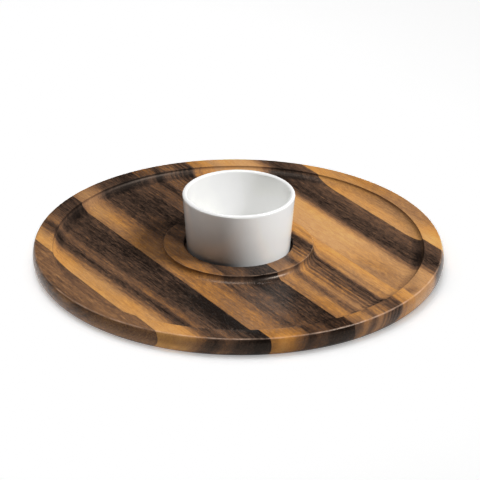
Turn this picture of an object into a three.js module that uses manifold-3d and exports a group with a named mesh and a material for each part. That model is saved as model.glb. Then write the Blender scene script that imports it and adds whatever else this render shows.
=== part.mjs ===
// Round chip and dip server: a turned tray, glued up from six staves of acacia, with a trough for
// chips around a raised collar, and a glazed ceramic dip bowl that stands in the collar's pocket.
// Millimetres, +Z up, origin at the centre of the tray's underside, staves running along Y.

import * as THREE from "three";
import { mergeVertices } from "three/addons/utils/BufferGeometryUtils.js";
import Module from "manifold-3d";

const wasm = await Module();
wasm.setup();

// Tray blank
const TRAY_RADIUS = 190.5;
const TRAY_THICKNESS = 17.8;
const WIDEST_HEIGHT = 10.6;
const SIDE_BULGE_RADIUS = 13.4;
const TOP_EDGE_RADIUS = 2;
const BOTTOM_EDGE_RADIUS = 2.2;

// Turned recesses
const RIM_INNER_RADIUS = 171.9;
const TROUGH_DEPTH = 6.2;
const RIM_COVE_WIDTH = 13.5;
const COLLAR_RADIUS = 69.3;
const COLLAR_COVE_WIDTH = 7.5;
const POCKET_RADIUS = 50.7;
const POCKET_DEPTH = 6.9;
const POCKET_CORNER_RADIUS = 1.5;

// Staves and the glue line between two of them
const STAVE_WIDTH = 76.2;
const FIRST_JOINT_X = -155.5;
const GLUE_LINE = 0.1;
const STAVES = [
  { name: "left_edge_stave", color: 0x7a5a42 },
  { name: "left_stave", color: 0x5a4438 },
  { name: "centre_left_stave", color: 0x7d5a38 },
  { name: "centre_right_stave", color: 0x8f6a46 },
  { name: "right_stave", color: 0xa9794a },
  { name: "right_edge_stave", color: 0xb98a50 },
];

// Dip bowl
const BOWL_HEIGHT = 57.7;
const BOWL_LIP_RADIUS = 51.8;
const BOWL_BASE_RADIUS = 47.9;
const BOWL_WALL = 4.4;
const BOWL_HEEL_RADIUS = 3;
const BOWL_FLOOR = 5;
const BOWL_INNER_CORNER_RADIUS = 12;
const FOOT_RING_WIDTH = 4;
const FOOT_RECESS = 1;
const BOWL_REST_GAP = 0.2;

// Surfaces
const WOOD_ROUGHNESS = 0.45;
const GLAZE_COLOR = 0xf1f1ef;
const GLAZE_ROUGHNESS = 0.12;

// Facets: steps around the axis and up a cove, and how far a chord of the profile may leave its arc
const TRAY_SEGMENTS = 72;
const BOWL_SEGMENTS = 56;
const COVE_STEPS = 8;
const ARC_TOLERANCE = 0.06;

// How far the cutting slabs reach past the tray, and how close two corners are merged
const SLAB_MARGIN = 1;
const MERGE_DISTANCE = 1e-4;

const rad = THREE.MathUtils.degToRad;
const deg = THREE.MathUtils.radToDeg;

// Points of an arc in the (radius, height) plane, from one angle to the other in degrees.
function arc(centre, radius, from, to) {
  const widestStep = deg(2 * Math.acos(1 - ARC_TOLERANCE / radius));
  const steps = Math.ceil(Math.abs(to - from) / widestStep);
  const points = [];
  for (let i = 0; i <= steps; i++) {
    const angle = rad(from + ((to - from) * i) / steps);
    const x = centre.x + radius * Math.cos(angle);
    const y = centre.y + radius * Math.sin(angle);
    points.push(new THREE.Vector2(x, y));
  }
  return points;
}

// A quarter ellipse that leaves the trough's floor flat at its foot and ends upright at an edge.
function cove(footX, edgeX) {
  const points = [];
  for (let i = 0; i <= COVE_STEPS; i++) {
    const angle = rad((90 * i) / COVE_STEPS);
    const x = footX + (edgeX - footX) * Math.sin(angle);
    points.push(new THREE.Vector2(x, TRAY_THICKNESS - TROUGH_DEPTH * Math.cos(angle)));
  }
  return points;
}

// A small edge arc that runs smoothly from the bulging side into the level face above or below it.
function sideEdge(radius, distanceFromWidest) {
  const toCentre = distanceFromWidest - radius;
  const out = Math.sqrt((SIDE_BULGE_RADIUS - radius) ** 2 - toCentre ** 2);
  return { out, angle: deg(Math.atan2(toCentre, out)) };
}

function trayProfile() {
  const top = TRAY_THICKNESS;
  const pocketFloor = top - POCKET_DEPTH;
  const bulgeCentre = new THREE.Vector2(TRAY_RADIUS - SIDE_BULGE_RADIUS, WIDEST_HEIGHT);
  const low = sideEdge(BOTTOM_EDGE_RADIUS, WIDEST_HEIGHT);
  const high = sideEdge(TOP_EDGE_RADIUS, top - WIDEST_HEIGHT);
  const lowCentre = new THREE.Vector2(bulgeCentre.x + low.out, BOTTOM_EDGE_RADIUS);
  const highCentre = new THREE.Vector2(bulgeCentre.x + high.out, top - TOP_EDGE_RADIUS);

  const rimCove = cove(RIM_INNER_RADIUS - RIM_COVE_WIDTH, RIM_INNER_RADIUS);
  const collarCove = cove(COLLAR_RADIUS + COLLAR_COVE_WIDTH, COLLAR_RADIUS);
  const corner = POCKET_CORNER_RADIUS;
  const cornerCentre = new THREE.Vector2(POCKET_RADIUS - corner, pocketFloor + corner);

  return [
    new THREE.Vector2(0, 0),
    ...arc(lowCentre, BOTTOM_EDGE_RADIUS, -90, -low.angle),
    ...arc(bulgeCentre, SIDE_BULGE_RADIUS, -low.angle, high.angle).slice(1, -1),
    ...arc(highCentre, TOP_EDGE_RADIUS, high.angle, 90),
    ...rimCove.reverse(),
    ...collarCove,
    new THREE.Vector2(POCKET_RADIUS, top),
    ...arc(cornerCentre, corner, 0, -90),
    new THREE.Vector2(0, pocketFloor),
  ];
}

function bowlProfile() {
  const lip = BOWL_WALL / 2;
  const lean = (BOWL_LIP_RADIUS - BOWL_BASE_RADIUS) / BOWL_HEIGHT;
  const leanAngle = deg(Math.atan(lean));
  const heelCentre = new THREE.Vector2(BOWL_BASE_RADIUS - BOWL_HEEL_RADIUS, BOWL_HEEL_RADIUS);
  const lipCentre = new THREE.Vector2(BOWL_LIP_RADIUS - lip, BOWL_HEIGHT - lip);
  const inner = BOWL_INNER_CORNER_RADIUS;
  const innerFoot = BOWL_BASE_RADIUS + lean * (BOWL_FLOOR + inner) - BOWL_WALL;
  const innerCentre = new THREE.Vector2(innerFoot - inner, BOWL_FLOOR + inner);
  const footInside = heelCentre.x - FOOT_RING_WIDTH;

  return [
    new THREE.Vector2(0, FOOT_RECESS),
    new THREE.Vector2(footInside - FOOT_RECESS, FOOT_RECESS),
    new THREE.Vector2(footInside, 0),
    ...arc(heelCentre, BOWL_HEEL_RADIUS, -90, -leanAngle),
    ...arc(lipCentre, lip, -leanAngle, 180 - leanAngle),
    ...arc(innerCentre, inner, -leanAngle, -90),
    new THREE.Vector2(0, BOWL_FLOOR),
  ];
}

// A profile turned about the Z axis.
function turned(profile, segments) {
  return new THREE.LatheGeometry(profile, segments).rotateX(Math.PI / 2);
}

// A closed geometry as a manifold solid facing out, without the empty triangles at the axis.
function toSolid(geometry) {
  const bare = geometry.clone();
  bare.deleteAttribute("normal");
  bare.deleteAttribute("uv");
  const merged = mergeVertices(bare, MERGE_DISTANCE);
  const position = merged.attributes.position;
  const index = merged.index.array;
  const kept = [];
  let volume = 0;
  const corners = [new THREE.Vector3(), new THREE.Vector3(), new THREE.Vector3()];
  for (let i = 0; i < index.length; i += 3) {
    const [a, b, c] = index.slice(i, i + 3);
    if (a === b || b === c || c === a) {
      continue;
    }
    kept.push(a, b, c);
    corners.forEach((corner, k) => corner.fromBufferAttribute(position, index[i + k]));
    volume += corners[0].dot(corners[1].clone().cross(corners[2]));
  }
  if (volume < 0) {
    kept.reverse();
  }
  const mesh = new wasm.Mesh({
    numProp: 3,
    vertProperties: new Float32Array(position.array),
    triVerts: new Uint32Array(kept),
  });
  return new wasm.Manifold(mesh);
}

function toGeometry(solid) {
  const mesh = solid.getMesh();
  const geometry = new THREE.BufferGeometry();
  geometry.setAttribute("position", new THREE.BufferAttribute(mesh.vertProperties, 3));
  geometry.setIndex(new THREE.BufferAttribute(mesh.triVerts, 1));
  geometry.computeVertexNormals();
  return geometry;
}

function named(name, geometry, material) {
  const mesh = new THREE.Mesh(geometry, new THREE.MeshStandardMaterial(material));
  mesh.name = name;
  return mesh;
}

// The upright slab of space that one stave fills, counted from the left edge of the tray.
function staveSlab(index) {
  const outside = TRAY_RADIUS + SLAB_MARGIN;
  const leftmost = index === 0;
  const rightmost = index === STAVES.length - 1;
  const left = leftmost ? -outside : FIRST_JOINT_X + STAVE_WIDTH * (index - 1) + GLUE_LINE / 2;
  const right = rightmost ? outside : FIRST_JOINT_X + STAVE_WIDTH * index - GLUE_LINE / 2;
  const slab = new THREE.BoxGeometry(right - left, 2 * outside, 2 * TRAY_THICKNESS);
  return slab.translate((left + right) / 2, 0, TRAY_THICKNESS / 2);
}

function buildTray() {
  const tray = new THREE.Group();
  const blank = toSolid(turned(trayProfile(), TRAY_SEGMENTS));
  STAVES.forEach(({ name, color }, index) => {
    const stave = blank.intersect(toSolid(staveSlab(index)));
    tray.add(named(name, toGeometry(stave), { color, roughness: WOOD_ROUGHNESS, metalness: 0 }));
  });
  return tray;
}

function buildBowl() {
  const geometry = toGeometry(toSolid(turned(bowlProfile(), BOWL_SEGMENTS)));
  const glaze = { color: GLAZE_COLOR, roughness: GLAZE_ROUGHNESS, metalness: 0 };
  const bowl = named("dip_bowl", geometry, glaze);
  bowl.position.z = TRAY_THICKNESS - POCKET_DEPTH + BOWL_REST_GAP;
  return bowl;
}

const server = new THREE.Group();
server.add(buildTray());
server.add(buildBowl());

export default server;
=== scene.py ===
import math

import bmesh
import bpy
from mathutils import Matrix, Vector


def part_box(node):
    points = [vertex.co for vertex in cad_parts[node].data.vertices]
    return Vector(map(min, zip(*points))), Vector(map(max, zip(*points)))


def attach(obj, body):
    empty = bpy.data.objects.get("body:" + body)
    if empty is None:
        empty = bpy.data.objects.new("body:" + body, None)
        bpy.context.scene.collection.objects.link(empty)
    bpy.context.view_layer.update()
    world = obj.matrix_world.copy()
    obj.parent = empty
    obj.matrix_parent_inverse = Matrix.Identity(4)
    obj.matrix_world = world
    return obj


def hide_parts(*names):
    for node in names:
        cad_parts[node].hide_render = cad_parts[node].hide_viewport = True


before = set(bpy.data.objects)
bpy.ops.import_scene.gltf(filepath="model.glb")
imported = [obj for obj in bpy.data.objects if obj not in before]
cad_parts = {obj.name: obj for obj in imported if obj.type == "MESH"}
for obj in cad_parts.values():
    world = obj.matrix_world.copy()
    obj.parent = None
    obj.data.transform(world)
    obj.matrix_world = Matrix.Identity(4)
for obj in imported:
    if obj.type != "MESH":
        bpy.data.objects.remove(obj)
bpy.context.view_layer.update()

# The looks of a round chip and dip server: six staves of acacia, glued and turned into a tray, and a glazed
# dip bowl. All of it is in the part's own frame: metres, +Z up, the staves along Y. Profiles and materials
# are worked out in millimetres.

MM = 0.001

# Tray, in millimetres, the same shape as the CAD part
TRAY_RADIUS = 190.5
WIDEST_HEIGHT = 10.6
SIDE_BULGE_RADIUS = 13.4
TOP_EDGE_RADIUS = 2.0
BOTTOM_EDGE_RADIUS = 2.2
RIM_INNER_RADIUS = 171.9
TROUGH_DEPTH = 6.2
RIM_COVE_WIDTH = 13.5
COLLAR_RADIUS = 69.3
COLLAR_COVE_WIDTH = 7.5
POCKET_RADIUS = 50.7
POCKET_DEPTH = 6.9
POCKET_CORNER_RADIUS = 1.5
EASED_EDGE = 0.35

# Bowl, in millimetres above its own base
BOWL_LIP_RADIUS = 51.8
BOWL_BASE_RADIUS = 47.9
BOWL_WALL = 4.4
BOWL_HEEL_RADIUS = 3.0
BOWL_FLOOR = 5.0
BOWL_INNER_CORNER_RADIUS = 12.0
FOOT_RING_WIDTH = 4.0
FOOT_RECESS = 1.0
UNGLAZED_HEIGHT = 0.25

# Fineness of the visible meshes
ARC_TOLERANCE = 0.008
COVE_STEPS = 30
EASING_STEPS = 4
TRAY_SEGMENTS = 360
BOWL_SEGMENTS = 240
SHARP_ANGLE = math.radians(35)
AXIS_TOLERANCE = 1e-6
CUT_TOLERANCE = 1e-7

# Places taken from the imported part
TRAY_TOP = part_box("left_stave")[1].z / MM
BOWL_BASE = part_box("dip_bowl")[0].z / MM
BOWL_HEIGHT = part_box("dip_bowl")[1].z / MM - BOWL_BASE

# Camera: angles in degrees, lens and sensor in millimetres, other lengths in metres
VIEW_AZIMUTH = -33.48
VIEW_ELEVATION = 26.14
VIEW_ROLL = 0.55
VIEW_DISTANCE = 2.284
VIEW_LENS = 184.8
SENSOR_WIDTH = 36.0
AIM_RIGHT = 0.00148
AIM_UP = 0.0021
RIGHT = Vector((math.cos(math.radians(VIEW_AZIMUTH)), math.sin(math.radians(VIEW_AZIMUTH)), 0))
AWAY = Vector((-RIGHT.y, RIGHT.x, 0))
UP = Vector((0, 0, 1))

# Soft lights: place from the camera's side (right, away, up) and length of a side in metres, power in watts
OVERHEAD_SOFTBOX = ((-0.2, 0.2, 1.98), 0.8, 26)
RIGHT_SOFTBOX = ((1.25, -0.36, 1.5), 0.5, 62)
LEFT_SOFTBOX = ((-1.57, 0.73, 1.0), 0.9, 1)
FLOOR_SOFTBOX = ((0.0, 0.0, 1.5), 6.0, 55)

# The room's own light, low down and overhead, and the upward share of a direction where it starts to rise
ROOM_GLOW = 0.01
CEILING_GLOW = 0.3
CEILING_FROM = 0.6

# The floor: half its side in metres, and the little light it gives off so that it stays white
FLOOR_HALF_SIDE = 14.0
FLOOR_GLOW = 0.29

# The picture's tones: light in the scene, and how bright it is shown
WHITE_LEVEL = 2.0
SHOULDER = [(0.45, 0.46), (0.6, 0.63), (0.75, 0.73), (0.9, 0.79), (1.1, 0.86), (1.22, 0.93), (1.3, 1.0)]
COMBINED_CURVE = 3


# ---------------------------------------------------------------- profiles

def arc(centre_x, centre_y, radius, start, end):
    """Points of an arc in the (radius, height) plane, from one angle to the other in degrees."""
    widest_step = math.degrees(2 * math.acos(1 - ARC_TOLERANCE / radius))
    steps = math.ceil(abs(end - start) / widest_step)
    angles = [math.radians(start + (end - start) * i / steps) for i in range(steps + 1)]
    return [Vector((centre_x + radius * math.cos(a), centre_y + radius * math.sin(a))) for a in angles]


def eased(before, corner, after):
    """A corner worn to a small curve, as sandpaper and use leave it."""
    start = corner + (before - corner).normalized() * EASED_EDGE
    end = corner + (after - corner).normalized() * EASED_EDGE
    points = []
    for i in range(EASING_STEPS + 1):
        t = i / EASING_STEPS
        points.append(start * (1 - t) ** 2 + corner * 2 * t * (1 - t) + end * t ** 2)
    return points


def cove(foot_x, edge_x):
    """A quarter ellipse that leaves the trough's floor flat at its foot and ends upright at an edge."""
    points = []
    for i in range(COVE_STEPS + 1):
        angle = math.radians(90 * i / COVE_STEPS)
        x = foot_x + (edge_x - foot_x) * math.sin(angle)
        points.append(Vector((x, TRAY_TOP - TROUGH_DEPTH * math.cos(angle))))
    return points


def side_edge(radius, distance_from_widest):
    """How far out a small edge arc sits, and the angle where it meets the bulging side.

    The arc runs smoothly from the side into a level face."""
    to_centre = distance_from_widest - radius
    out = math.sqrt((SIDE_BULGE_RADIUS - radius) ** 2 - to_centre ** 2)
    return out, math.degrees(math.atan2(to_centre, out))


def tray_profile():
    bulge_x = TRAY_RADIUS - SIDE_BULGE_RADIUS
    low_out, low_angle = side_edge(BOTTOM_EDGE_RADIUS, WIDEST_HEIGHT)
    high_out, high_angle = side_edge(TOP_EDGE_RADIUS, TRAY_TOP - WIDEST_HEIGHT)
    bottom_edge = arc(bulge_x + low_out, BOTTOM_EDGE_RADIUS, BOTTOM_EDGE_RADIUS, -90, -low_angle)
    side = arc(bulge_x, WIDEST_HEIGHT, SIDE_BULGE_RADIUS, -low_angle, high_angle)
    top_edge = arc(bulge_x + high_out, TRAY_TOP - TOP_EDGE_RADIUS, TOP_EDGE_RADIUS, high_angle, 90)
    rim_cove = cove(RIM_INNER_RADIUS - RIM_COVE_WIDTH, RIM_INNER_RADIUS)[::-1]
    collar_cove = cove(COLLAR_RADIUS + COLLAR_COVE_WIDTH, COLLAR_RADIUS)
    pocket_floor = TRAY_TOP - POCKET_DEPTH
    corner = POCKET_CORNER_RADIUS
    pocket_corner = arc(POCKET_RADIUS - corner, pocket_floor + corner, corner, 0, -90)
    pocket_edge = Vector((POCKET_RADIUS, TRAY_TOP))
    return [
        Vector((0, 0)),
        *bottom_edge,
        *side[1:-1],
        *top_edge,
        *eased(top_edge[-1], rim_cove[0], rim_cove[1]),
        *rim_cove[1:],
        *collar_cove[:-1],
        *eased(collar_cove[-2], collar_cove[-1], pocket_edge),
        *eased(collar_cove[-1], pocket_edge, pocket_corner[0]),
        *pocket_corner,
        Vector((0, pocket_floor)),
    ]


def bowl_profile():
    lip = BOWL_WALL / 2
    lean = (BOWL_LIP_RADIUS - BOWL_BASE_RADIUS) / BOWL_HEIGHT
    lean_angle = math.degrees(math.atan(lean))
    heel_x = BOWL_BASE_RADIUS - BOWL_HEEL_RADIUS
    inner = BOWL_INNER_CORNER_RADIUS
    inner_x = BOWL_BASE_RADIUS + lean * (BOWL_FLOOR + inner) - BOWL_WALL - inner
    foot_inside = heel_x - FOOT_RING_WIDTH
    heel = arc(heel_x, BOWL_HEEL_RADIUS, BOWL_HEEL_RADIUS, -90, -lean_angle)
    foot = Vector((foot_inside, 0))
    recess = Vector((foot_inside - FOOT_RECESS, FOOT_RECESS))
    middle = Vector((0, FOOT_RECESS))
    points = [
        middle,
        *eased(middle, recess, foot),
        *eased(recess, foot, heel[0]),
        *heel,
        *arc(BOWL_LIP_RADIUS - lip, BOWL_HEIGHT - lip, lip, -lean_angle, 180 - lean_angle),
        *arc(inner_x, BOWL_FLOOR + inner, inner, -lean_angle, -90),
        Vector((0, BOWL_FLOOR)),
    ]
    return [Vector((p.x, p.y + BOWL_BASE)) for p in points]


# ---------------------------------------------------------------- meshes

def turned(profile, segments):
    """A bmesh of a profile turned about the Z axis, closed where it meets the axis."""
    mesh = bmesh.new()
    rings = []
    for point in profile:
        if point.x < AXIS_TOLERANCE:
            rings.append([mesh.verts.new((0, 0, point.y * MM))])
            continue
        ring = []
        for i in range(segments):
            angle = 2 * math.pi * i / segments
            x = point.x * MM * math.cos(angle)
            y = point.x * MM * math.sin(angle)
            ring.append(mesh.verts.new((x, y, point.y * MM)))
        rings.append(ring)
    for low, high in zip(rings, rings[1:]):
        for i in range(segments):
            j = (i + 1) % segments
            corners = [low[i % len(low)], low[j % len(low)], high[j % len(high)], high[i % len(high)]]
            mesh.faces.new(list(dict.fromkeys(corners)))
    return mesh


def cut_to_stave(mesh, left, right):
    """Keeps what lies between two upright planes, and closes the cuts with flat faces."""
    for x, facing in ((left, -1), (right, 1)):
        if x is None:
            continue
        everything = mesh.verts[:] + mesh.edges[:] + mesh.faces[:]
        cut = bmesh.ops.bisect_plane(
            mesh,
            geom=everything,
            dist=CUT_TOLERANCE,
            plane_co=(x, 0, 0),
            plane_no=(facing, 0, 0),
            clear_outer=True)
        edges = [e for e in cut["geom_cut"] if isinstance(e, bmesh.types.BMEdge)]
        bmesh.ops.contextual_create(mesh, geom=edges)


def finished(mesh, name):
    """Makes an object of a bmesh: faces out, smooth, with its real edges left crisp."""
    bmesh.ops.recalc_face_normals(mesh, faces=mesh.faces[:])
    for face in mesh.faces:
        face.smooth = True
    for edge in mesh.edges:
        edge.smooth = edge.calc_face_angle(0) < SHARP_ANGLE
    data = bpy.data.meshes.new(name)
    mesh.to_mesh(data)
    mesh.free()
    piece = bpy.data.objects.new(name, data)
    bpy.context.scene.collection.objects.link(piece)
    return piece


# ---------------------------------------------------------------- shader nodes

class Graph:
    """A material's node tree, built by calls that take plain values or other nodes' outputs."""

    def __init__(self, name):
        self.material = bpy.data.materials.new(name)
        self.material.use_nodes = True
        self.tree = self.material.node_tree
        self.shader = self.tree.nodes["Principled BSDF"]

    def put(self, socket, value):
        if isinstance(value, bpy.types.NodeSocket):
            self.tree.links.new(value, socket)
        else:
            socket.default_value = value

    def node(self, kind, inputs, **settings):
        node = self.tree.nodes.new(kind)
        for key, value in settings.items():
            setattr(node, key, value)
        for key, value in inputs.items():
            self.put(node.inputs[key], value)
        return node

    def math(self, operation, a, b=0.0):
        return self.node("ShaderNodeMath", {0: a, 1: b}, operation=operation).outputs[0]

    def add(self, first, *others):
        for other in others:
            first = self.math("ADD", first, other)
        return first

    def times(self, a, b):
        return self.math("MULTIPLY", a, b)

    def point(self):
        """The place on the piece in millimetres, as separate x, y and z."""
        place = self.node("ShaderNodeTexCoord", {}).outputs["Object"]
        scaled = self.node("ShaderNodeVectorMath", {0: place, "Scale": 1 / MM}, operation="SCALE")
        split = self.node("ShaderNodeSeparateXYZ", {0: scaled.outputs[0]})
        return split.outputs["X"], split.outputs["Y"], split.outputs["Z"]

    def facing(self):
        """How far the surface faces along x and y."""
        normal = self.node("ShaderNodeTexCoord", {}).outputs["Normal"]
        split = self.node("ShaderNodeSeparateXYZ", {0: normal})
        return split.outputs["X"], split.outputs["Y"]

    def noise(self, place, lengths, seed, detail=2.0, roughness=0.5):
        """Smooth noise from -1 to 1 about 0, whose features are about lengths long along x, y and z."""
        parts = [self.times(axis, 1 / length) for axis, length in zip(place, lengths)]
        vector = self.node("ShaderNodeCombineXYZ", dict(enumerate(parts))).outputs[0]
        inputs = {"Vector": vector, "W": float(seed), "Scale": 1.0, "Detail": detail, "Roughness": roughness}
        value = self.node("ShaderNodeTexNoise", inputs, noise_dimensions="4D").outputs["Fac"]
        ranges = {0: value, 1: 0.25, 2: 0.75, 3: -1.0, 4: 1.0}
        return self.node("ShaderNodeMapRange", ranges, clamp=False).outputs[0]

    def rise(self, value, start, end):
        """0 before start, 1 after end, smooth between."""
        node = self.node("ShaderNodeMapRange", {0: value, 1: start, 2: end}, interpolation_type="SMOOTHSTEP")
        return node.outputs[0]

    def ramp(self, value, stops, interpolation="LINEAR"):
        """A colour by value, from (value, colour) stops in rising order."""
        low, high = stops[0][0], stops[-1][0]
        share = self.node("ShaderNodeMapRange", {0: value, 1: low, 2: high}).outputs[0]
        node = self.node("ShaderNodeValToRGB", {0: share})
        ramp = node.color_ramp
        ramp.interpolation = interpolation
        while len(ramp.elements) < len(stops):
            ramp.elements.new(1.0)
        for element, (position, colour) in zip(ramp.elements, stops):
            element.position = (position - low) / (high - low)
            element.color = (*colour, 1.0)
        return node.outputs[0]

    def level(self, value, stops):
        """A number by value, from (value, number) stops."""
        return self.ramp(value, [(at, (n, n, n)) for at, n in stops], "EASE")

    def mix(self, share, first, second):
        """One colour that turns into another as the share goes from 0 to 1."""
        inputs = {0: share, 6: first, 7: second}
        return self.node("ShaderNodeMix", inputs, data_type="RGBA").outputs[2]

    def bump(self, height, distance, strength):
        """Relief, with its full height in millimetres."""
        inputs = {"Height": height, "Distance": distance * MM, "Strength": strength}
        return self.node("ShaderNodeBump", inputs).outputs[0]


def linear(red, green, blue):
    """A colour written as screen values from 0 to 255, as the linear values that shaders take."""
    def one(value):
        share = value / 255
        return share / 12.92 if share <= 0.04045 else ((share + 0.055) / 1.055) ** 2.4
    return one(red), one(green), one(blue)


# ---------------------------------------------------------------- wood

# Colours of acacia by tone, from 0, the palest sapwood, to 1, the blackest heartwood
GOLDEN_TONES = [
    (0.0, linear(184, 140, 82)),
    (0.2, linear(160, 114, 59)),
    (0.4, linear(130, 87, 42)),
    (0.55, linear(98, 67, 40)),
    (0.7, linear(67, 46, 32)),
    (0.85, linear(42, 29, 21)),
    (1.0, linear(15, 9, 6)),
]
UMBER_TONES = [
    (0.0, linear(170, 131, 87)),
    (0.2, linear(146, 110, 72)),
    (0.4, linear(117, 85, 58)),
    (0.55, linear(90, 65, 47)),
    (0.7, linear(65, 49, 39)),
    (0.85, linear(42, 32, 26)),
    (1.0, linear(15, 10, 8)),
]

# The paler line along the tray's top edge, and how much of it shows at most: partly rubbed wood, and partly
# a painted highlight for the thin line of light that this edge catches.
RUBBED_EDGE_AND_HIGHLIGHT = linear(176, 148, 128)
RUBBED_EDGE_AND_HIGHLIGHT_SHARE = 0.42

# How much each thing adds to the wood's tone, where more is darker. The two cove tones are painted shade.
PORE_TONE = 0.1
END_GRAIN_TONE = 0.1
COVE_WALL_SHADE_TONE = 0.1
COVE_FOOT_SHADE_TONE = 0.23
# Painted light: the lower outer side made paler, as the white floor's bounce lights it
LOWER_SIDE_LIGHT_TONE = -0.14

# Oiled wood has a low, warm sheen
OIL_ROUGHNESS = 0.27
OIL_SPECULAR = 0.13
OIL_TINT = (1.0, 0.82, 0.68, 1.0)


def grain_across(g, place, seed, slant, tilt, wander):
    """x, leaned and bent so that where it stays the same is the course of a line of grain."""
    x, y, z = place
    drift = g.noise(place, (70, 150, 30), seed, detail=2)
    waver = g.noise(place, (20, 60, 14), seed + 1, detail=2)
    depth = g.add(z, -TRAY_TOP)
    leaning = g.add(x, g.times(y, slant), g.times(depth, tilt))
    return g.add(leaning, g.times(drift, wander), g.times(waver, wander * 0.3))


def band_tone(g, grain, smudge, seed, tones, patches):
    """The tone of the stave's bands, with fingered and smudged edges, and of its darker and paler places."""
    across, y, z = grain
    fingers = g.noise(grain, (2.6, 75, 9), seed + 2, detail=3, roughness=0.6)
    banded = g.add(across, g.times(fingers, 1.3), g.times(smudge, 0.6))
    tone = g.level(banded, tones)
    for patch_x, patch_y, half_width, half_length, change in patches:
        sideways = g.rise(g.math("ABSOLUTE", g.add(banded, -patch_x)), half_width, 0.0)
        lengthways = g.rise(g.math("ABSOLUTE", g.add(y, -patch_y)), half_length, 0.0)
        tone = g.add(tone, g.times(g.times(sideways, lengthways), change))
    return tone


def wood_figure(g, place, grain, fibres, seed, lines):
    """Fine differences of tone: broad and narrow streaks, growth rings, blotches, mottle and fibres."""
    broad = g.noise(grain, (7, 170, 22), seed + 4, detail=2)
    streaks = g.noise(grain, (2.4, 150, 10), seed + 5, detail=2, roughness=0.6)
    rings = g.noise(grain, (1.0, 80, 5), seed + 6, detail=2, roughness=0.7)
    blotches = g.noise(place, (13, 20, 13), seed + 7, detail=5, roughness=0.7)
    mottle = g.noise(place, (1.0, 13, 1.0), seed + 8, detail=3, roughness=0.8)
    return g.add(
        g.times(broad, lines * 0.35),
        g.times(streaks, lines * 0.6),
        g.times(rings, lines * 0.9),
        g.times(blotches, 0.055),
        g.times(mottle, 0.18),
        g.times(fibres, 0.16))


def facing_outward(g, place):
    """How far the surface faces away from the tray's axis, from 1 to -1, and how much of it is end grain."""
    x, y, z = place
    facing_x, facing_y = g.facing()
    from_axis = g.math("SQRT", g.add(g.times(x, x), g.times(y, y)))
    outward = g.math("DIVIDE", g.add(g.times(facing_x, x), g.times(facing_y, y)), from_axis)
    end_grain = g.rise(g.math("ABSOLUTE", facing_y), 0.3, 0.95)
    return outward, end_grain


def acacia_colour(g, place, tone, seed, golden, greying):
    """Golden or umber acacia by tone. The wood turns umber where it is dark, and as it greys along y."""
    x, y, z = place
    cloud = g.noise(place, (30, 80, 30), seed + 11, detail=4)
    darkness = g.add(0.45, g.times(tone, -1.2))
    hue = g.add(g.add(g.times(cloud, 0.6), golden), darkness, g.times(y, -greying))
    return g.mix(g.rise(hue, 0.0, 1.0), g.ramp(tone, UMBER_TONES), g.ramp(tone, GOLDEN_TONES))


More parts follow.
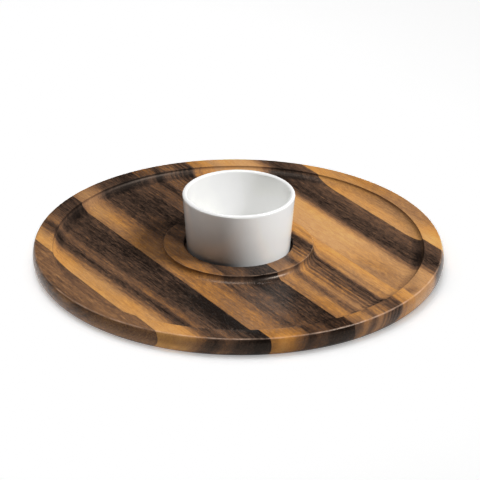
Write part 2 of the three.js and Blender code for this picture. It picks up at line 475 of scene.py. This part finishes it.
def acacia(name, seed, tones, slant=0.0, tilt=-0.4, wander=3.0, lines=0.08, golden=0.5, greying=0.0,
           patches=()):
    """Oiled acacia.

    tones: the tone across the stave, by x.
    slant, tilt: how far the bands shift sideways for each millimetre along the stave, and of height.
    wander: how far the bands stray, in millimetres.
    lines: how strong the streaks and growth rings are.
    golden, greying: how golden rather than umber the wood is, and how much of that a millimetre of y takes.
    patches: darker or paler places, as (x, y, half width, half length, change of tone).
    """
    g = Graph(name)
    place = g.point()
    x, y, z = place
    grain = (grain_across(g, place, seed, slant, tilt, wander), y, z)
    smudge = g.noise(place, (7, 20, 7), seed + 3, detail=3, roughness=0.6)
    fibres = g.noise(place, (0.6, 4.5, 0.6), seed + 9, detail=2, roughness=0.7)
    pores = g.rise(g.noise(place, (0.6, 6, 0.6), seed + 10, detail=1), 0.4, 0.9)
    outward, end_grain = facing_outward(g, place)
    # Painted shade: darker wood where surfaces face in towards the axis, at the cove's foot and on its steep
    # wall
    cove_foot_shade = g.times(g.rise(outward, -0.02, -0.3), g.rise(outward, -0.85, -0.45))
    cove_wall_shade = g.rise(outward, -0.7, -0.98)
    # Painted light: paler wood low on the outer side, where light bounces up from the floor
    lower_side_light = g.times(g.rise(outward, 0.5, 0.9), g.rise(z, 12, 3))
    # Painted highlight, partly rubbed wood: paler wood where the top outer edge rounds over
    rubbed_edge_and_highlight = g.times(g.rise(outward, 0.1, 0.4), g.rise(z, TRAY_TOP - 1.2, TRAY_TOP - 0.3))
    rubbed_edge_and_highlight = g.times(rubbed_edge_and_highlight, g.rise(smudge, -1.0, 1.0))
    bands = band_tone(g, grain, smudge, seed, tones, patches)
    figure = wood_figure(g, place, grain, fibres, seed, lines)
    contrast = g.times(g.add(0.45, g.times(bands, 1.15)), g.add(1.0, g.times(end_grain, -0.4)))
    # Painted shade at the cove's foot, deeper where the bands are darker
    foot_shade_tone = g.times(bands, COVE_FOOT_SHADE_TONE)
    tone = g.add(
        bands,
        g.times(figure, contrast),
        g.times(pores, PORE_TONE),
        g.add(g.times(cove_foot_shade, foot_shade_tone), g.times(cove_wall_shade, COVE_WALL_SHADE_TONE)),
        g.times(end_grain, END_GRAIN_TONE),
        g.times(lower_side_light, LOWER_SIDE_LIGHT_TONE))
    colour = acacia_colour(g, place, tone, seed, golden, greying)
    # The top edge's painted highlight and rubbed wood, mixed into the colour
    colour = g.mix(g.times(rubbed_edge_and_highlight, RUBBED_EDGE_AND_HIGHLIGHT_SHARE), colour, (*RUBBED_EDGE_AND_HIGHLIGHT, 1.0))
    g.put(g.shader.inputs["Base Color"], colour)
    cove_dullness = g.times(g.rise(outward, -0.05, -0.5), 0.15)
    roughness = g.add(OIL_ROUGHNESS, g.times(fibres, 0.04), cove_dullness, g.times(pores, 0.2))
    g.put(g.shader.inputs["Roughness"], roughness)
    relief = g.add(g.times(fibres, 0.35), g.times(pores, -1.0))
    g.put(g.shader.inputs["Normal"], g.bump(relief, 0.05, 0.15))
    g.shader.inputs["Specular IOR Level"].default_value = OIL_SPECULAR
    g.shader.inputs["Specular Tint"].default_value = OIL_TINT
    return g.material


def left_edge_wood():
    tones = [
        (-191, 0.2), (-188.5, 0.42), (-187, 0.6), (-184, 0.58), (-178, 0.51), (-171, 0.5), (-165, 0.51),
        (-157, 0.53), (-153, 0.56), (-149.6, 0.68)]
    return acacia("acacia_left_edge", 11, tones, slant=0.02, wander=1.0, golden=0.15)


def left_wood():
    tones = [
        (-156, 0.2), (-147, 0.19), (-139, 0.24), (-134, 0.42), (-129, 0.66), (-124, 0.8), (-121, 0.7),
        (-117, 0.56), (-113, 0.6), (-109, 0.74), (-102, 0.8), (-95, 0.82), (-89, 0.84), (-83, 0.82),
        (-78, 0.8)]
    patches = [(-87, -105, 17, 95, 0.36), (-83, 30, 16, 50, 0.08), (-105, 138, 30, 40, -0.12)]
    return acacia("acacia_left", 23, tones, slant=0.035, wander=1.2, golden=0.35, patches=patches)


def centre_left_wood():
    tones = [
        (-80, 0.44), (-68, 0.43), (-60, 0.46), (-54, 0.5), (-49, 0.6), (-45, 0.74), (-41, 0.74), (-37, 0.66),
        (-33, 0.7), (-29, 0.72), (-24, 0.84), (-16, 0.88), (-9, 0.88), (-2, 0.88)]
    patches = [
        (-66, -110, 20, 60, 0.04), (-70, -190, 20, 24, -0.48), (-66, 140, 18, 80, -0.16),
        (-34, 120, 17, 80, 0.12), (-6, 158, 14, 34, -0.16), (-46, 10, 13, 26, -0.2),
        (-26, -74, 14, 26, 0.1), (-14, -130, 12, 30, -0.1)]
    return acacia("acacia_centre_left", 37, tones, wander=2.0, golden=0.6, greying=0.003, patches=patches)


def centre_right_wood():
    tones = [
        (-5, 0.46), (4, 0.44), (11, 0.34), (15, 0.4), (18, 0.56), (21, 0.62), (24, 0.5), (27, 0.38),
        (30, 0.38), (33, 0.56), (35, 0.42), (37.5, 0.64), (39.5, 0.5), (42, 0.74), (44, 0.6), (46, 0.8),
        (48.5, 0.64), (51, 0.82), (53, 0.72), (55.5, 0.46), (58, 0.34), (62, 0.38), (65, 0.28), (74, 0.24)]
    patches = [
        (12, 130, 45, 120, 0.3), (8, 165, 40, 60, 0.06), (14, -56, 16, 16, 0.2),
        (44, -32, 14, 26, 0.08), (0, -195, 14, 24, 0.16)]
    return acacia("acacia_centre_right", 41, tones, tilt=-0.5, wander=0.8, golden=0.45, patches=patches)


def right_wood():
    tones = [
        (72, 0.2), (84, 0.16), (96, 0.13), (105, 0.13), (110, 0.2), (115, 0.44), (120, 0.72), (125, 0.83),
        (130, 0.82), (136, 0.78), (143, 0.68), (150, 0.66)]
    patches = [(88, -120, 42, 90, 0.22), (90, -182, 30, 20, -0.2), (78, -165, 14, 12, 0.2)]
    return acacia("acacia_right", 59, tones, wander=1.5, lines=0.07, golden=-0.05, patches=patches)


def right_edge_wood():
    tones = [(148, 0.22), (160, 0.24), (168, 0.28), (174, 0.36), (192, 0.38)]
    patches = [(155, -95, 20, 40, -0.1)]
    return acacia("acacia_right_edge", 61, tones, wander=2.0, lines=0.06, golden=0.45, patches=patches)


# ---------------------------------------------------------------- bowl surfaces

def white_glaze():
    g = Graph("white_glaze")
    place = g.point()
    cloud = g.noise(place, (18, 18, 18), 71, detail=2)
    peel = g.noise(place, (3.5, 3.5, 3.5), 72, detail=1)
    tint = g.ramp(cloud, [(-1.0, linear(222, 222, 220)), (1.0, linear(228, 228, 226))])
    g.put(g.shader.inputs["Base Color"], tint)
    g.put(g.shader.inputs["Roughness"], g.add(0.1, g.times(cloud, 0.02)))
    g.put(g.shader.inputs["Normal"], g.bump(peel, 0.03, 0.25))
    g.shader.inputs["Coat Weight"].default_value = 0.4
    g.shader.inputs["Coat Roughness"].default_value = 0.05
    return g.material


def bare_stoneware():
    g = Graph("bare_stoneware")
    place = g.point()
    grit = g.noise(place, (0.35, 0.35, 0.35), 81, detail=3)
    stain = g.noise(place, (9, 9, 9), 82, detail=3)
    mix = g.add(g.times(grit, 0.5), g.times(stain, 0.5))
    tint = g.ramp(mix, [(-1.0, linear(196, 187, 172)), (1.0, linear(232, 226, 214))])
    g.put(g.shader.inputs["Base Color"], tint)
    g.put(g.shader.inputs["Roughness"], g.add(0.8, g.times(grit, 0.08)))
    g.put(g.shader.inputs["Normal"], g.bump(grit, 0.04, 0.6))
    return g.material


# ---------------------------------------------------------------- pieces

# CAD node, the record's material slot, the wood
STAVES = [
    ("left_edge_stave", "walnut_brown_acacia", left_edge_wood),
    ("left_stave", "dark_heartwood_acacia", left_wood),
    ("centre_left_stave", "two_tone_acacia", centre_left_wood),
    ("centre_right_stave", "streaked_acacia", centre_right_wood),
    ("right_stave", "golden_acacia", right_wood),
    ("right_edge_stave", "pale_acacia", right_edge_wood),
]


def glue_line(left_node, right_node):
    """Where two boards meet: the middle of the thin gap that the CAD model leaves between them."""
    return (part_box(left_node)[1].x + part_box(right_node)[0].x) / 2


def build_tray():
    blank = turned(tray_profile(), TRAY_SEGMENTS)
    nodes = [node for node, slot, wood in STAVES]
    glue_lines = [glue_line(left_node, right_node) for left_node, right_node in zip(nodes, nodes[1:])]
    pieces = []
    for (node, slot, wood), left, right in zip(STAVES, [None, *glue_lines], [*glue_lines, None]):
        mesh = blank.copy()
        cut_to_stave(mesh, left, right)
        piece = finished(mesh, node + "_wood")
        piece.data.materials.append(wood())
        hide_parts(node)
        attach(piece, "tray")
        pieces.append(piece)
    blank.free()
    return pieces


def build_bowl():
    piece = finished(turned(bowl_profile(), BOWL_SEGMENTS), "dip_bowl_glazed")
    piece.data.materials.append(white_glaze())
    piece.data.materials.append(bare_stoneware())
    bare_below = (BOWL_BASE + UNGLAZED_HEIGHT) * MM
    for face in piece.data.polygons:
        face.material_index = 1 if face.center.z < bare_below else 0
    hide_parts("dip_bowl")
    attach(piece, "bowl")
    return piece


# ---------------------------------------------------------------- studio

def in_studio(right, away, up):
    """A place given from the camera's side: to its right, away from it, and up, in metres."""
    return RIGHT * right + AWAY * away + UP * up


def pale_floor():
    g = Graph("pale_floor")
    place = g.point()
    cloud = g.noise(place, (900, 900, 900), 91, detail=2)
    tint = g.ramp(cloud, [(-1.0, linear(246, 246, 246)), (1.0, linear(250, 250, 250))])
    g.put(g.shader.inputs["Base Color"], tint)
    g.shader.inputs["Roughness"].default_value = 0.7
    g.shader.inputs["Specular IOR Level"].default_value = 0.2
    g.shader.inputs["Emission Color"].default_value = (1.0, 1.0, 1.0, 1.0)
    g.shader.inputs["Emission Strength"].default_value = FLOOR_GLOW
    return g.material


def build_floor():
    mesh = bmesh.new()
    bmesh.ops.create_grid(mesh, x_segments=8, y_segments=8, size=FLOOR_HALF_SIDE)
    data = bpy.data.meshes.new("floor")
    mesh.to_mesh(data)
    mesh.free()
    floor = bpy.data.objects.new("floor", data)
    bpy.context.scene.collection.objects.link(floor)
    data.materials.append(pale_floor())
    return floor


def build_world():
    """A dim room, brighter overhead."""
    world = bpy.data.worlds.new("studio")
    bpy.context.scene.world = world
    world.use_nodes = True
    nodes, links = world.node_tree.nodes, world.node_tree.links
    place = nodes.new("ShaderNodeTexCoord")
    towards = nodes.new("ShaderNodeVectorMath")
    towards.operation = "DOT_PRODUCT"
    towards.inputs[1].default_value = UP
    share = nodes.new("ShaderNodeMapRange")
    share.interpolation_type = "SMOOTHSTEP"
    share.inputs["From Min"].default_value = CEILING_FROM
    share.inputs["From Max"].default_value = 1.0
    share.inputs["To Min"].default_value = ROOM_GLOW
    share.inputs["To Max"].default_value = CEILING_GLOW
    background = nodes["Background"]
    links.new(place.outputs["Generated"], towards.inputs[0])
    links.new(towards.outputs["Value"], share.inputs[0])
    links.new(share.outputs[0], background.inputs["Strength"])
    background.inputs["Color"].default_value = (1, 1, 1, 1)


def softbox(name, light):
    """A square soft light that faces the tray."""
    place, side, power = light
    data = bpy.data.lights.new(name, "AREA")
    data.shape = "SQUARE"
    data.size = side
    data.energy = power
    lamp = bpy.data.objects.new(name, data)
    lamp.location = in_studio(*place)
    lamp.rotation_euler = (-in_studio(*place)).to_track_quat("-Z", "Y").to_euler()
    bpy.context.scene.collection.objects.link(lamp)
    return lamp


def light_only(lamp, things):
    """Keeps a light to some things, as a photographer does with cards and flags."""
    group = bpy.data.collections.new(lamp.name + "_lights")
    for thing in things:
        group.objects.link(thing)
    lamp.light_linking.receiver_collection = group


def build_lights(floor, server):
    """The light from the right is for the server alone, and the wide one above is for the floor alone."""
    softbox("overhead_softbox", OVERHEAD_SOFTBOX)
    light_only(softbox("right_softbox", RIGHT_SOFTBOX), server)
    softbox("left_softbox", LEFT_SOFTBOX)
    light_only(softbox("floor_softbox", FLOOR_SOFTBOX), [floor])


def build_camera():
    data = bpy.data.cameras.new("camera")
    data.lens = VIEW_LENS
    data.sensor_width = SENSOR_WIDTH
    camera = bpy.data.objects.new("camera", data)
    bpy.context.scene.collection.objects.link(camera)
    bpy.context.scene.camera = camera
    tilt = math.radians(VIEW_ELEVATION)
    middle = UP * TRAY_TOP * MM
    back = UP * math.sin(tilt) - AWAY * math.cos(tilt)
    camera_up = UP * math.cos(tilt) + AWAY * math.sin(tilt)
    camera.location = middle + back * VIEW_DISTANCE
    aim = middle + RIGHT * AIM_RIGHT + camera_up * AIM_UP
    turn = (aim - camera.location).to_track_quat("-Z", "Y").to_matrix().to_4x4()
    roll = Matrix.Rotation(math.radians(VIEW_ROLL), 4, "Z")
    camera.rotation_euler = (turn @ roll).to_euler()


def develop():
    """The picture's tones: straight up to a mid grey, then the soft shoulder a camera gives bright glaze."""
    view = bpy.context.scene.view_settings
    view.view_transform = "Standard"
    view.use_curve_mapping = True
    view.curve_mapping.white_level = (WHITE_LEVEL, WHITE_LEVEL, WHITE_LEVEL)
    curve = view.curve_mapping.curves[COMBINED_CURVE]
    for light, shown in SHOULDER:
        point = curve.points.new(light / WHITE_LEVEL, shown)
        point.handle_type = "VECTOR"
    view.curve_mapping.update()


build_camera()
build_world()
floor = build_floor()
server = [*build_tray(), build_bowl()]
build_lights(floor, server)
develop()
